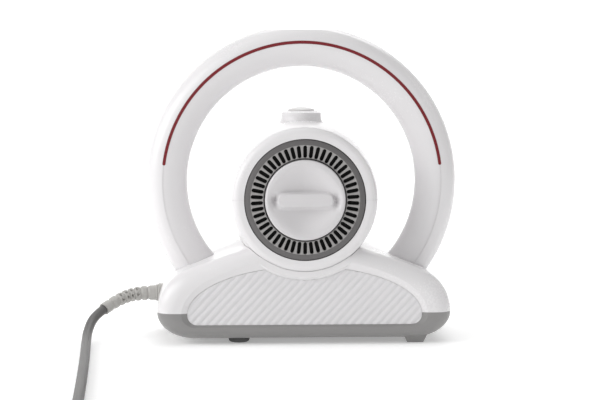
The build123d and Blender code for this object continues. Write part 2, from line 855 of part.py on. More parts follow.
with BuildPart() as thermal_cutout:
    with BuildSketch(Plane.XZ.offset(-heater_back)):
        with Locations((0, hub_height + heater_tall / 2 + cutout_radius + 2)):
            Circle(cutout_radius)
    extrude(amount=-4)
    fillet(thermal_cutout.edges().sort_by(Axis.Y)[-1], 1)
save(thermal_cutout, "thermal_cutout")


# ---------------------------------------------------------------- outlets

cover_back = hub_half_depth
cover_flange = hub_half_depth - wall - slip_gap

with BuildPart() as rear_cover:
    add(disc(mouth_radius - slip_gap, cover_flange, cover_back))
    add(disc(flange_radius, cover_flange - flange_thickness, cover_flange))
    with BuildSketch(Plane.XZ.offset(-outlet_front)):
        with Locations((0, hub_height)):
            with GridLocations(outlet_spacing, 0, 2, 1):
                Circle(outlet_bore + outlet_wall)
    extrude(amount=-outlet_length - outlet_shoulder)
    fillet(rear_cover.edges().filter_by(GeomType.CIRCLE).group_by(Axis.Y)[-1], 1)
    with BuildSketch(Plane.XZ.offset(-outlet_front - outlet_shoulder)):
        with Locations((0, hub_height)):
            with GridLocations(outlet_spacing, 0, 2, 1):
                Circle(outlet_bore)
    extrude(amount=-outlet_length, mode=Mode.SUBTRACT)
    with BuildSketch(Plane.XZ.offset(-outlet_front)):
        with Locations((0, hub_height)):
            with GridLocations(outlet_spacing, 0, 2, 1):
                Circle(outlet_bore - 1.5)
    extrude(amount=-outlet_shoulder, mode=Mode.SUBTRACT)
save(rear_cover, "rear_cover")

with BuildPart() as outlet_guards:
    with BuildSketch(Plane.XZ.offset(-outlet_front)):
        with Locations((0, hub_height)):
            with GridLocations(outlet_spacing, 0, 2, 1):
                Circle(outlet_bore - 1.5)
                with GridLocations(guard_pitch, 0, 5, 1):
                    SlotOverall(1.2 * outlet_bore, guard_slot, rotation=90, mode=Mode.SUBTRACT)
    extrude(amount=-outlet_shoulder)
save(outlet_guards, "outlet_guards")


# ---------------------------------------------------------------- push button

with BuildPart() as push_button:
    with BuildSketch(Plane.XZ):
        with BuildLine():
            dome_sphere = (button_radius**2 + button_dome**2) / (2 * button_dome)
            dome_middle = button_radius / 2
            dome_height = button_top - dome_sphere + sqrt(dome_sphere**2 - dome_middle**2)
            ThreePointArc(
                (button_radius, button_top - button_dome), (dome_middle, dome_height), (0, button_top)
            )
            Polyline(
                (0, button_top),
                (0, button_foot),
                (button_radius, button_foot),
                (button_radius, button_top - button_dome),
            )
        make_face()
    revolve(axis=Axis.Z)
    with BuildSketch(Plane.XY.offset(button_foot)):
        Circle(button_flange)
    extrude(amount=button_flange_thickness)
save(push_button, "push_button")

with BuildPart() as switch_board:
    with BuildSketch(Plane.XY.offset(switch_board_height)):
        RectangleRounded(2 * switch_post_place + 10, 18, 2)
    extrude(amount=switch_board_thickness)
save(switch_board, "switch_board")

with BuildPart() as button_switch:
    with BuildSketch(Plane.XY.offset(switch_board_top)):
        RectangleRounded(6.2, 6.2, 0.6)
    extrude(amount=5)
    with BuildSketch(Plane.XY.offset(switch_board_top)):
        Circle(1.7)
    extrude(amount=button_foot - button_travel - switch_board_top - 0.1)
save(button_switch, "button_switch")

with BuildPart() as button_spring:
    spring_foot = switch_board_top + spring_wire / 2
    spring_height = button_foot - switch_board_top - spring_wire
    with BuildLine():
        coils = Helix(spring_height / spring_turns, spring_height, spring_radius, center=(0, 0, spring_foot))
    with BuildSketch(Plane(origin=coils @ 0, z_dir=coils % 0)):
        Circle(spring_wire / 2)
    sweep(is_frenet=True)
save(button_spring, "button_spring")


# ---------------------------------------------------------------- control board and wiring

with BuildPart() as control_board:
    with BuildSketch(Plane.XY.offset(board_height)):
        RectangleRounded(board_length, board_width, 2)
        with GridLocations(board_length - 8, board_width - 8, 2, 2):
            Circle(screw_radius, mode=Mode.SUBTRACT)
    extrude(amount=board_thickness)
save(control_board, "control_board")

with BuildPart() as board_components:
    for across, back, length, width, height in board_blocks:
        with BuildSketch(Plane.XY.offset(board_top)):
            with Locations((across, back)):
                RectangleRounded(length, width, 1)
        extrude(amount=height)
    for across, back, radius, height in board_cans:
        with BuildSketch(Plane.XY.offset(board_top)):
            with Locations((across, back)):
                Circle(radius)
        extrude(amount=height)
save(board_components, "board_components")

with BuildPart() as terminal_block:
    with BuildSketch(Plane.XY.offset(board_top)):
        with Locations(terminal_place):
            Rectangle(12, 22)
    extrude(amount=terminal_height)
    with BuildSketch(Plane.XY.offset(board_top + terminal_height)):
        with Locations(terminal_place):
            with GridLocations(0, wire_spacing, 1, 2):
                Circle(2.2)
    extrude(amount=-4, mode=Mode.SUBTRACT)
save(terminal_block, "terminal_block")

with BuildPart() as board_screws:
    with BuildSketch(Plane.XY.offset(board_top)):
        with GridLocations(board_length - 8, board_width - 8, 2, 2):
            Circle(screw_head_radius - 0.5)
    extrude(amount=1.6)
    with BuildSketch(Plane.XY.offset(board_top)):
        with GridLocations(board_length - 8, board_width - 8, 2, 2):
            Circle(screw_radius - 0.4)
    extrude(amount=-board_screw_length)
save(board_screws, "board_screws")


def bend_radii(route):
    """For each inner point of a route, the radius of the arc that its two runs leave room for."""
    points = [Vector(*point) for point in route]
    runs = [after - before for before, after in zip(points, points[1:])]
    radii = []
    for run, following in zip(runs, runs[1:]):
        turn = radians(run.get_angle(following))
        radii.append(0.45 * min(run.length, following.length) / tan(turn / 2))
    return radii


def flexible_tube(route, radius):
    """A round tube along a route of straight runs joined by arcs."""
    with BuildPart() as tube:
        with BuildLine():
            centre = FilletPolyline(*route, radius=bend_radii(route))
        with BuildSketch(Plane(origin=centre @ 0, z_dir=centre % 0)):
            Circle(radius)
        sweep()
    print(
        f"tube: length {centre.length:.1f}, volume over section times length",
        f"{tube.part.volume / (pi * radius**2 * centre.length):.4f}, radii",
        [round(bend) for bend in bend_radii(route)],
    )
    return tube


harness = flexible_tube(harness_route, harness_radius)
save(harness, "harness")


# ---------------------------------------------------------------- cord entry

with BuildPart() as cord_collar:
    with BuildSketch(Plane.YZ.offset(-collar_face)):
        with Locations((entry_back, entry_height)):
            Circle(collar_radius)
            Circle(relief_neck_radius + bearing_gap, mode=Mode.SUBTRACT)
    extrude(amount=collar_length)
    fillet(cord_collar.edges().filter_by(GeomType.CIRCLE).group_by(Axis.X)[0].sort_by(SortBy.LENGTH)[-1], 1)
save(cord_collar, "cord_collar")

with BuildPart() as strain_relief:
    with BuildLine():
        spine = FilletPolyline(*relief_route, radius=bend_radii(relief_route))
    with BuildSketch(Plane(origin=spine @ 0, z_dir=spine % 0)):
        Circle(relief_radius)
    with BuildSketch(Plane(origin=spine @ 1, z_dir=spine % 1)):
        Circle(relief_tip_radius)
    sweep(multisection=True)
    with BuildSketch(Plane.YZ.offset(-collar_face)):
        with Locations((entry_back, entry_height)):
            Circle(relief_flange_radius)
    extrude(amount=-relief_flange_thickness)
    with BuildSketch(Plane.YZ.offset(-collar_face)):
        with Locations((entry_back, entry_height)):
            Circle(relief_neck_radius)
    extrude(amount=collar_length + 2)
save(strain_relief, "strain_relief")

with BuildPart() as inner_lead:
    with BuildSketch(Plane.YZ.offset(2 + collar_length - collar_face)):
        with Locations((entry_back, entry_height)):
            Circle(cord_diameter / 2)
    extrude(amount=lead_length)
save(inner_lead, "inner_lead")

with BuildPart() as cord_clamp:
    with BuildSketch(Plane.XY.offset(clamp_foot)):
        with Locations((-clamp_place, entry_back)):
            Rectangle(clamp_length, clamp_width)
    extrude(amount=clamp_height)
    with BuildSketch(Plane.YZ.offset(-clamp_place - clamp_length)):
        with Locations((entry_back, entry_height)):
            Circle(cord_diameter / 2 + bearing_gap)
    extrude(amount=2 * clamp_length, mode=Mode.SUBTRACT)
save(cord_clamp, "cord_clamp")

with BuildPart() as mains_wires:
    lead_end = 2 + collar_length - collar_face + lead_length
    for side in (-1, 1):
        terminal_back = terminal_place[1] + side * wire_spacing / 2
        wire_route = [
            (lead_end, entry_back + side * cord_diameter / 4, entry_height),
            (lead_end + 14, entry_back + side * cord_diameter / 4, entry_height),
            (terminal_place[0] - 4, terminal_back, entry_height + 3),
            (terminal_place[0], terminal_back, entry_height - 2),
            (terminal_place[0], terminal_back, board_top + terminal_height - 3),
        ]
        with BuildLine():
            wire_centre = FilletPolyline(*wire_route, radius=bend_radii(wire_route))
        with BuildSketch(Plane(origin=wire_centre @ 0, z_dir=wire_centre % 0)):
            Circle(wire_radius)
        sweep()
save(mains_wires, "mains_wires")


# ---------------------------------------------------------------- feet and screws

with BuildPart() as rubber_feet:
    with BuildSketch(Plane.XY.offset(base_underside)):
        for side in (-1, 1):
            with Locations((side * foot_place[0], side * foot_place[1])):
                Circle(foot_radius)
    extrude(amount=-base_underside)
    fillet(rubber_feet.edges().group_by(Axis.Z)[0], 2.5)
save(rubber_feet, "rubber_feet")


def screws(places, head_height, length, upward=True):
    """Round-headed screws standing in line, their heads at the bottom."""
    with BuildPart() as group:
        with BuildSketch(Plane.XY.offset(head_height)):
            with Locations(*places):
                Circle(screw_head_radius)
        extrude(amount=-2)
        with BuildSketch(Plane.XY.offset(head_height)):
            with Locations(*places):
                Circle(screw_radius)
        extrude(amount=length)
    return group


pan_screws = screws(corners_of(pan_screw_place), base_underside + wall, pan_screw_length)
save(pan_screws, "pan_screws")
hub_screws = screws(corners_of(shell_screw_place), screw_seat, shell_screw_length)
save(hub_screws, "hub_screws")
cradle_floor = hub_height - hub_radius - slip_gap - wall
cradle_places = [(0, -cradle_screw_place), (0, cradle_screw_place)]
cradle_screws = screws(cradle_places, cradle_floor, cradle_screw_length)
save(cradle_screws, "cradle_screws")


# ---------------------------------------------------------------- mains cord, put away in a coil

power_cord = flexible_tube(cord_route, cord_diameter / 2)
save(power_cord, "power_cord")
cord_tail = flexible_tube(tail_route, cord_diameter / 2)
save(cord_tail, "cord_tail")

with BuildPart() as cord_coil:
    with BuildSketch(Plane.XZ.offset(-coil_centre[1])) as turns:
        with Locations((coil_centre[0] + (coil_inner + coil_outer) / 2, coil_foot + coil_height / 2)):
            RectangleRounded(coil_outer - coil_inner, coil_height, cord_diameter / 2)
    revolve(axis=Axis((*coil_centre, 0), (0, 0, 1)))
save(cord_coil, "cord_coil")

with BuildPart() as cord_tie:
    across = coil_outer - coil_inner
    with BuildSketch(Plane.XZ.offset(-coil_centre[1])):
        with Locations((coil_centre[0] + (coil_inner + coil_outer) / 2, tie_height / 2)):
            RectangleRounded(across + 4 * tie_thickness, tie_height, cord_diameter / 2)
            RectangleRounded(
                across + 2 * tie_thickness, coil_height, cord_diameter / 2 - tie_thickness, mode=Mode.SUBTRACT
            )
    extrude(amount=tie_width / 2, both=True)
save(cord_tie, "cord_tie")

neck_face = tail_route[-1]
plug_face = neck_face[0] + plug_neck_length

with BuildPart() as plug_body:
    with BuildSketch(Plane.YZ.offset(plug_face)):
        with Locations((neck_face[1], plug_height / 2)):
            RectangleRounded(plug_width, plug_height, 6)
    extrude(amount=plug_length)
    fillet(plug_body.faces().filter_by(Axis.X).edges(), 2)
    with BuildSketch(Plane.YZ.offset(neck_face[0])):
        with Locations(neck_face[1:]):
            Circle(cord_diameter / 2 + 1)
    with BuildSketch(Plane.YZ.offset(plug_face + 1)):
        with Locations(neck_face[1:]):
            Circle(plug_neck_radius)
    loft()
save(plug_body, "plug_body")

with BuildPart() as plug_pins:
    with BuildSketch(Plane.YZ.offset(plug_face + plug_length)):
        with Locations(neck_face[1:]):
            with GridLocations(pin_spacing, 0, 2, 1):
                Circle(pin_radius)
    extrude(amount=pin_length)
    fillet(plug_pins.edges().group_by(Axis.X)[-1], 1.5)
save(plug_pins, "plug_pins")
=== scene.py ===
import bmesh
import bpy
import json
import math
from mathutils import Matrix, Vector


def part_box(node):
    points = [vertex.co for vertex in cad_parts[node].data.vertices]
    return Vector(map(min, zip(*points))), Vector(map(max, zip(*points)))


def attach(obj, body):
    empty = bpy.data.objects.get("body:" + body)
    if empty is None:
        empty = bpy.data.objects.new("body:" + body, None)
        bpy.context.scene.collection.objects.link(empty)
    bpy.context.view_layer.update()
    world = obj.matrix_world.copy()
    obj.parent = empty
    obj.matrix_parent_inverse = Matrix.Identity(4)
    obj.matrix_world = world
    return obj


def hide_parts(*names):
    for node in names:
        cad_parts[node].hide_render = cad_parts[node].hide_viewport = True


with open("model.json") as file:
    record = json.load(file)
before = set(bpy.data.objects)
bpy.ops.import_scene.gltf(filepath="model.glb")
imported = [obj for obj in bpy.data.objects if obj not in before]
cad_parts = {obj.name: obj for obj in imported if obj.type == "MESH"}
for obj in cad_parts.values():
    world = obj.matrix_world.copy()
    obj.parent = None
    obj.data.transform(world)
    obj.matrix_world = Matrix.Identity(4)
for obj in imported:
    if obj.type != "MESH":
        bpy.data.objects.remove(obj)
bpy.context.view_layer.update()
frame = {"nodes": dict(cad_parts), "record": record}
mm = 0.001  # sizes below are in millimetres, except where a note says metres
nodes = frame["nodes"]
print("frame loaded:", len(nodes), "nodes")


def point(x, y, z):
    return Vector((x * mm, y * mm, z * mm))


def smoothStep(low, high, value):
    share = min(1.0, max(0.0, (value - low) / (high - low)))
    return share * share * (3 - 2 * share)


# camera

view = {
    "distance": 1500,
    "azimuth": -2.9,
    "elevation": 4.12,
    "target": (-0.9, 0.0, 104.8),
    "lens": 116.2,
    "sensor": 36,
    "nearest": 50,
}


def makeCamera():
    camera = bpy.data.objects.new("camera", bpy.data.cameras.new("camera"))
    bpy.context.collection.objects.link(camera)
    camera.data.lens = view["lens"]
    camera.data.sensor_width = view["sensor"]
    camera.data.clip_start = view["nearest"] * mm
    turn, rise = math.radians(view["azimuth"]), math.radians(view["elevation"])
    away = Vector((math.sin(turn) * math.cos(rise), -math.cos(turn) * math.cos(rise), math.sin(rise)))
    camera.location = point(*view["target"]) + away * view["distance"] * mm
    camera.rotation_euler = away.to_track_quat("Z", "Y").to_euler()
    bpy.context.scene.camera = camera


makeCamera()
bpy.context.scene.view_settings.view_transform = "Standard"


# materials: a wire is one socket of a node tree, so that shader maths reads as plain expressions


class Wire:
    def __init__(self, tree, socket=None):
        self.tree = tree
        self.socket = socket

    def node(self, kind, settings=None, inputs=None, output=0):
        made = self.tree.nodes.new("ShaderNode" + kind)
        for key, value in (settings or {}).items():
            setattr(made, key, value)
        for key, value in (inputs or {}).items():
            if isinstance(value, Wire):
                self.tree.links.new(value.socket, made.inputs[key])
            else:
                made.inputs[key].default_value = value
        return Wire(self.tree, made.outputs[output])

    def sum(self, operation, first, second=0.0):
        return self.node("Math", {"operation": operation}, {0: first, 1: second})

    def __add__(self, other):
        return self.sum("ADD", self, other)

    def __sub__(self, other):
        return self.sum("SUBTRACT", self, other)

    def __rsub__(self, other):
        return self.sum("SUBTRACT", other, self)

    def __mul__(self, other):
        return self.sum("MULTIPLY", self, other)

    def __truediv__(self, other):
        return self.sum("DIVIDE", self, other)

    __radd__ = __add__
    __rmul__ = __mul__


def newFinish(name):
    finish = bpy.data.materials.new(name)
    finish.use_nodes = True
    return finish, finish.node_tree.nodes["Principled BSDF"]


def surfacePlace(finish):
    return Wire(finish.node_tree).node("TexCoord", output=3)


def connect(wire, shader, socketName):
    wire.tree.links.new(wire.socket, shader.inputs[socketName])


def clouds(place, scale, detail=3.0):
    return place.node("TexNoise", {}, {"Vector": place, "Scale": scale, "Detail": detail}, "Fac")


def blendColours(mask, low, high):
    return mask.node("Mix", {"data_type": "RGBA"}, {0: mask, 6: (*low, 1), 7: (*high, 1)}, 2)


axisHeight = 109.0  # of the hub, the grille and the dial
ribHighlightSoftness = 4.0  # how quickly the painted highlight on the grille's ribs sets in, per millimetre
uneven = {"mottle": 0.08, "skin": 0.05, "skinDetail": 2.0, "skinDistance": 0.3}
brushed = {"stretch": (1, 1, 12), "shade": 0.85, "roughness": 0.12}


def ringMask(place, inner, outer):
    # 1 between two distances in mm from the hub's axis, and 0 outside them; it places the painted highlight
    # on the grille's ribs
    across = place.node("SeparateXYZ", {}, {"Vector": place}, 0)
    above = place.node("SeparateXYZ", {}, {"Vector": place}, 2) - axisHeight * mm
    away = place.node("Math", {"operation": "SQRT"}, {0: across * across + above * above}) / mm
    clamped = {"operation": "MULTIPLY", "use_clamp": True}
    pastInner = place.node("Math", clamped, {0: away - inner, 1: ribHighlightSoftness})
    beforeOuter = place.node("Math", clamped, {0: outer - away, 1: ribHighlightSoftness})
    return pastInner * beforeOuter


def moulded(
    name,
    colour,
    shade=0.04,
    gloss=0.3,
    grain=900,
    depth=0.02,
    mottling=14,
    coat=0.0,
    ribHighlightColour=None,
    ribHighlightSpan=None,
):
    # moulded plastic or rubber: faint mottling, uneven gloss and a fine skin, and where asked a ring of
    # painted highlight
    finish, shader = newFinish(name)
    place = surfacePlace(finish)
    mottle = clouds(place, mottling)
    darker = [channel * (1 - shade) for channel in colour]
    lighter = [min(1, channel * (1 + shade)) for channel in colour]
    colours = blendColours(mottle, darker, lighter)
    # a lighter grey over the grille's ribs and slot lips: a painted highlight, not the plastic's own colour
    if ribHighlightColour:
        ring = {0: ringMask(place, *ribHighlightSpan), 6: colours, 7: (*ribHighlightColour, 1)}
        colours = place.node("Mix", {"data_type": "RGBA"}, ring, 2)
    connect(colours, shader, "Base Color")
    skin = clouds(place, grain, uneven["skinDetail"])
    roughness = gloss + (mottle - 0.5) * uneven["mottle"] + (skin - 0.5) * uneven["skin"]
    connect(roughness, shader, "Roughness")
    relieved = {"Strength": depth, "Distance": uneven["skinDistance"] * mm, "Height": skin}
    connect(place.node("Bump", {}, relieved), shader, "Normal")
    shader.inputs["Coat Weight"].default_value = coat
    return finish


def metal(name, colour, gloss=0.3, streaks=400):
    # bare metal with fine streaks
    finish, shader = newFinish(name)
    place = surfacePlace(finish)
    stretched = place.node("Mapping", {}, {"Vector": place, "Scale": brushed["stretch"]})
    streak = clouds(stretched, streaks)
    darker = [channel * brushed["shade"] for channel in colour]
    connect(blendColours(streak, darker, colour), shader, "Base Color")
    connect(gloss + streak * brushed["roughness"], shader, "Roughness")
    shader.inputs["Metallic"].default_value = 1
    return finish


plastics = {  # colour, then how much it varies, its roughness, and its skin's fineness and depth
    "white_shell": dict(colour=(0.80, 0.787, 0.795), shade=0.012, gloss=0.26, grain=700, depth=0.015),
    "grey_pan": dict(colour=(0.27, 0.265, 0.262), shade=0.02, gloss=0.3, grain=700, depth=0.02),
    "ribbed_white": dict(colour=(0.745, 0.734, 0.745), shade=0.015, gloss=0.42, grain=1500, depth=0.03),
    "red_strip": dict(colour=(0.19, 0.006, 0.012), shade=0.05, gloss=0.6, grain=1500, depth=0.03),
    "crown_grey": dict(colour=(0.66, 0.65, 0.65), shade=0.01, gloss=0.3, grain=900, depth=0.02),
    "lens": dict(colour=(0.03, 0.03, 0.035), shade=0.05, gloss=0.12, grain=300, depth=0.01, coat=0.5),
    "grille_grey": dict(
        colour=(0.13, 0.124, 0.124),
        gloss=0.45,
        grain=2500,
        depth=0.08,
        ribHighlightColour=(0.34, 0.33, 0.325),  # painted highlight on the ribs between the slots
        ribHighlightSpan=(31.2, 41.0),  # where the painted highlight lies, from the hub's axis
    ),
    "filter_foam": dict(colour=(0.012, 0.012, 0.012), shade=0.4, gloss=0.9, grain=1200, depth=0.8),
    "dial_white": dict(colour=(0.69, 0.675, 0.685), shade=0.012, gloss=0.4, grain=1800, depth=0.04),
    "button_white": dict(colour=(0.70, 0.69, 0.685), shade=0.012, gloss=0.34, grain=1500, depth=0.03),
    "inner_plastic": dict(colour=(0.04, 0.04, 0.042), shade=0.1, gloss=0.5, grain=1500, depth=0.08),
    "heater_card": dict(colour=(0.45, 0.40, 0.30), shade=0.15, gloss=0.85, grain=900, depth=0.2),
    "ceramic": dict(colour=(0.62, 0.58, 0.50), shade=0.06, gloss=0.6, grain=1200, depth=0.1),
    "circuit_board": dict(colour=(0.03, 0.14, 0.06), shade=0.2, gloss=0.35, grain=700, depth=0.1),
    "wire_black": dict(colour=(0.02, 0.02, 0.02), shade=0.1, gloss=0.45, grain=1200, depth=0.05),
    "foot_rubber": dict(colour=(0.1, 0.1, 0.101), shade=0.15, gloss=0.6, grain=2500, depth=0.12),
    "cord_grey": dict(colour=(0.12, 0.117, 0.114), shade=0.03, gloss=0.5, grain=2000, depth=0.06),
    "collar_grey": dict(colour=(0.45, 0.44, 0.42), shade=0.03, gloss=0.35, grain=1500, depth=0.04),
    "tie_black": dict(colour=(0.02, 0.02, 0.02), shade=0.2, gloss=0.75, grain=3000, depth=0.3),
}
metals = {
    "steel": dict(colour=(0.56, 0.56, 0.57), gloss=0.3),
    "fin_aluminium": dict(colour=(0.78, 0.78, 0.78), gloss=0.35, streaks=900),
    "pin_brass": dict(colour=(0.72, 0.70, 0.66), gloss=0.2, streaks=600),
}
finishes = {name: moulded(name, **values) for name, values in plastics.items()}
finishes.update({name: metal(name, **values) for name, values in metals.items()})

slotOf = {part["node"]: part["material_slot"] for part in frame["record"]["subparts"]}
for name, node in nodes.items():
    node.data.materials.clear()
    node.data.materials.append(finishes[slotOf[name]])
print("finishes made:", len(finishes))


# floor and backdrop, one sheet that curves up far behind the object

stage = {  # sizes in metres
    "halfWidth": 3.0,
    "front": -2.5,
    "back": 1.6,
    "bend": 0.9,
    "top": 3.0,
    "steps": 24,
    "paper": (0.93, 0.93, 0.93, 1),
    "roughness": 0.9,
    "shine": 0.1,
    "glow": 0.26,
    "sky": 0.4,
}
white = (1, 1, 1, 1)


def makeBackdrop():
    profile = [(stage["front"], 0.0), (stage["back"], 0.0)]
    for step in range(1, stage["steps"] + 1):
        turn = math.pi / 2 * step / stage["steps"]
        profile.append((stage["back"] + stage["bend"] * math.sin(turn), stage["bend"] * (1 - math.cos(turn))))
    profile.append((stage["back"] + stage["bend"], stage["top"]))
    vertices = [(side * stage["halfWidth"], y, z) for y, z in profile for side in (-1, 1)]
    faces = [(2 * i, 2 * i + 1, 2 * i + 3, 2 * i + 2) for i in range(len(profile) - 1)]
    mesh = bpy.data.meshes.new("backdrop")
    mesh.from_pydata(vertices, [], faces)
    mesh.shade_smooth()
    backdrop = bpy.data.objects.new("backdrop", mesh)
    bpy.context.collection.objects.link(backdrop)
    finish, shader = newFinish("backdrop_paper")
    shader.inputs["Base Color"].default_value = stage["paper"]
    shader.inputs["Roughness"].default_value = stage["roughness"]
    shader.inputs["Specular IOR Level"].default_value = stage["shine"]
    shader.inputs["Emission Color"].default_value = white
    shader.inputs["Emission Strength"].default_value = stage["glow"]
    mesh.materials.append(finish)


lamps = [  # name, place and target in metres, size, watts
    ("key", (-1.7, -1.0, 1.2), (0, 0, 0.12), 1.6, 15.5),
    ("low", (-0.6, -1.6, 0.25), (0, 0, 0.05), 1.0, 1.2),
    ("left", (-2.0, -0.2, 0.8), (0, 0, 0.10), 1.2, 10.5),
    ("right", (1.9, 0.2, 1.3), (0, 0, 0.12), 1.0, 2.5),
    ("fill", (1.6, -1.7, 0.9), (0, 0, 0.10), 1.4, 1.2),
    ("top", (0.0, -0.1, 1.9), (0, 0, 0.1), 1.8, 6.0),
    ("back", (0.3, 1.2, 1.5), (0, 1.9, 0.3), 1.4, 18.0),
]


def makeLamps():
    for name, place, target, size, watts in lamps:
        data = bpy.data.lights.new(name, "AREA")
        data.shape = "DISK"
        data.size = size
        data.energy = watts
        lamp = bpy.data.objects.new(name, data)
        lamp.location = place
        lamp.rotation_euler = (Vector(place) - Vector(target)).to_track_quat("Z", "Y").to_euler()
        bpy.context.collection.objects.link(lamp)
    world = bpy.data.worlds.new("studio")
    world.use_nodes = True
    background = world.node_tree.nodes["Background"]
    background.inputs["Color"].default_value = white
    background.inputs["Strength"].default_value = stage["sky"]
    bpy.context.scene.world = world


makeBackdrop()
makeLamps()
print("stage lit")


# mains cord: its free route, then the turns that it is stored in, then the run to its plug

cord = {
    "diameter": 7.2,
    "length": 1.54,
    "route": [
        (-152.5, -5.0, 21.3),
        (-159.98, -12.82, 16.744),
        (-163.6, -32.0, 8.0),
        (-163.3, -54.0, 3.7),
        (-161.6, -92.0, 3.6),
        (-159.7, -134.0, 3.6),
        (-158.0, -176.0, 3.6),
        (-156.4, -218.0, 3.6),
        (-155.0, -258.0, 3.6),
        (-153.6, -300.0, 3.6),
        (-152.6, -342.0, 3.6),
        (-152.3, -384.0, 4.2),
        (-152.7, -424.0, 4.6),
    ],
    "coilCentre": (-107.0, -441.0),
    "coilFoot": 4.5,
    "outerTurn": 46.0,
    "innerTurn": 31.6,
    "turnPoints": 16,
    "climb": 0.25,  # of a turn, from the lower layer to the upper one
    "climbLead": 0.12,
    "innerSlack": 0.8,
    "knotSteps": 8,
    "roundSteps": 6,
    "tail": [
        (-86.0, -487.2, 9.8),
        (-66.0, -486.5, 7.6),
        (-48.0, -485.5, 9.6),
        (-34.0, -485.5, 10.0),
    ],
}


def coilPoints():
    # in at the outside on the floor, inward, up, and outward again on top
    centreX, centreY = cord["coilCentre"]
    pitch, count = cord["diameter"], cord["turnPoints"]
    swell = 1 / math.cos(math.pi / count)
    layerTurns = (cord["outerTurn"] - cord["innerTurn"]) / pitch
    climb = cord["climb"]
    total = 2 * layerTurns + climb
    points = []
    for step in range(1, round(total * count)):
        turn = step / count
        inward = cord["outerTurn"] - pitch * turn
        outward = cord["innerTurn"] + pitch * (turn - layerTurns - climb)
        radius = max(inward, outward, cord["innerTurn"] - cord["innerSlack"]) * swell
        lift = smoothStep(0.0, 2 * climb, turn - layerTurns + cord["climbLead"])
        angle = math.pi + 2 * math.pi * turn
        height = cord["coilFoot"] + pitch * lift
        points.append((centreX + radius * math.cos(angle), centreY + radius * math.sin(angle), height))
    return points


def splineThrough(name, points, radius):
    curve = bpy.data.curves.new(name, "CURVE")
    curve.dimensions = "3D"
    spline = curve.splines.new("NURBS")
    spline.points.add(len(points) - 1)
    for knot, place in zip(spline.points, points):
        knot.co = (*point(*place), 1)
    spline.order_u = 3
    spline.use_endpoint_u = True
    spline.resolution_u = cord["knotSteps"]
    curve.bevel_depth = radius * mm
    curve.bevel_resolution = cord["roundSteps"]
    curve.use_fill_caps = True
    made = bpy.data.objects.new(name, curve)
    bpy.context.collection.objects.link(made)
    return made


def makeCord():
    points = cord["route"] + coilPoints() + cord["tail"]
    flex = splineThrough("mains_cord", points, cord["diameter"] / 2)
    flex.data.materials.append(finishes["cord_grey"])
    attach(flex, "root")
    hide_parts("power_cord", "cord_coil", "cord_tail")
    return flex


flex = makeCord()
print("cord laid")


# pieces made here: each stands for the CAD node of the same place


def addPiece(name, vertices, faces, finishName, replaced, body="root", sharp=40):
    mesh = bpy.data.meshes.new(name)
    mesh.from_pydata([point(*vertex) for vertex in vertices], [], faces)
    mesh.validate()
    mesh.shade_smooth()
    mesh.set_sharp_from_angle(angle=math.radians(sharp))
    mesh.materials.append(finishes[finishName])
    piece = bpy.data.objects.new(name, mesh)
    bpy.context.collection.objects.link(piece)
    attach(piece, body)
    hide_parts(replaced)
    return piece


def gridFaces(rows, columns, closed=False, start=0):
    # quads over rows of points, each row joined to the next
    across = columns if closed else columns - 1
    faces = []
    for row in range(rows - 1):
        for column in range(across):
            after = (column + 1) % columns
            low, high = start + row * columns, start + (row + 1) * columns
            faces.append((low + column, low + after, high + after, high + column))
    return faces


# ribbed panels, front and back

panel = {
    "corner": 7.5,
    "rise": 36.0,
    "scallop": 60.4,
    "valley": 55.35,  # the grooves' floor, from the middle of the base
    "thickness": 1.2,
    "ribPitch": 4.7,
    "ribHeight": 0.75,
    "ribAngle": 47,
    "ribShape": 0.7,
    "sideGap": 0.05,
    "columns": 330,
    "rows": 92,
}


def panelColumn(x, halfWidth, foot):
    # the lowest and highest point of the panel at one distance from its middle
    cornerStart = halfWidth - panel["corner"]
    spring = foot + panel["corner"]
    beyond = max(0.0, abs(x) - cornerStart)
    low = spring - math.sqrt(max(0.0, panel["corner"] ** 2 - beyond**2))
    high = spring + panel["rise"] * math.sqrt(max(0.0, 1 - (x / halfWidth) ** 2))
    if abs(x) < panel["scallop"]:
        high = min(high, axisHeight - math.sqrt(panel["scallop"] ** 2 - x**2))
    return low, max(high, low)


def makePanel(name, facing):
    lowCorner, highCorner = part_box(name)
    halfWidth, foot = highCorner[0] / mm, lowCorner[2] / mm
    slant = math.radians(panel["ribAngle"])
    rows, columns = panel["rows"], panel["columns"]
    front, back = [], []
    for row in range(rows):
        for column in range(columns):
            x = -(halfWidth - panel["sideGap"]) * math.cos(math.pi * column / (columns - 1))
            low, high = panelColumn(x, halfWidth, foot)
            z = low + (high - low) * row / (rows - 1)
            across = z * math.cos(slant) - x * math.sin(slant)
            wave = 0.5 + 0.5 * math.cos(2 * math.pi * across / panel["ribPitch"])
            face = panel["valley"] + panel["ribHeight"] * wave ** panel["ribShape"]
            front.append((x, facing * face, z))
            back.append((x, facing * (panel["valley"] - panel["thickness"]), z))
    faces = gridFaces(rows, columns)
    total = rows * columns
    faces += [tuple(total + corner for corner in reversed(face)) for face in faces]
    rim = [*range(columns), *[(row + 1) * columns - 1 for row in range(1, rows)]]
    rim += [(rows - 1) * columns + column for column in range(columns - 2, -1, -1)]
    rim += [row * columns for row in range(rows - 2, 0, -1)]
    for here, after in zip(rim, rim[1:] + rim[:1]):
        faces.append((here, here + total, after + total, after))
    if facing > 0:
        faces = [tuple(reversed(face)) for face in faces]
    addPiece(name + "_ribs", front + back, faces, "ribbed_white", name)


makePanel("front_panel", -1)
makePanel("rear_panel", 1)
print("panels ribbed")


# timer dial: a flat rim, a soft dish, and a grip bar across it

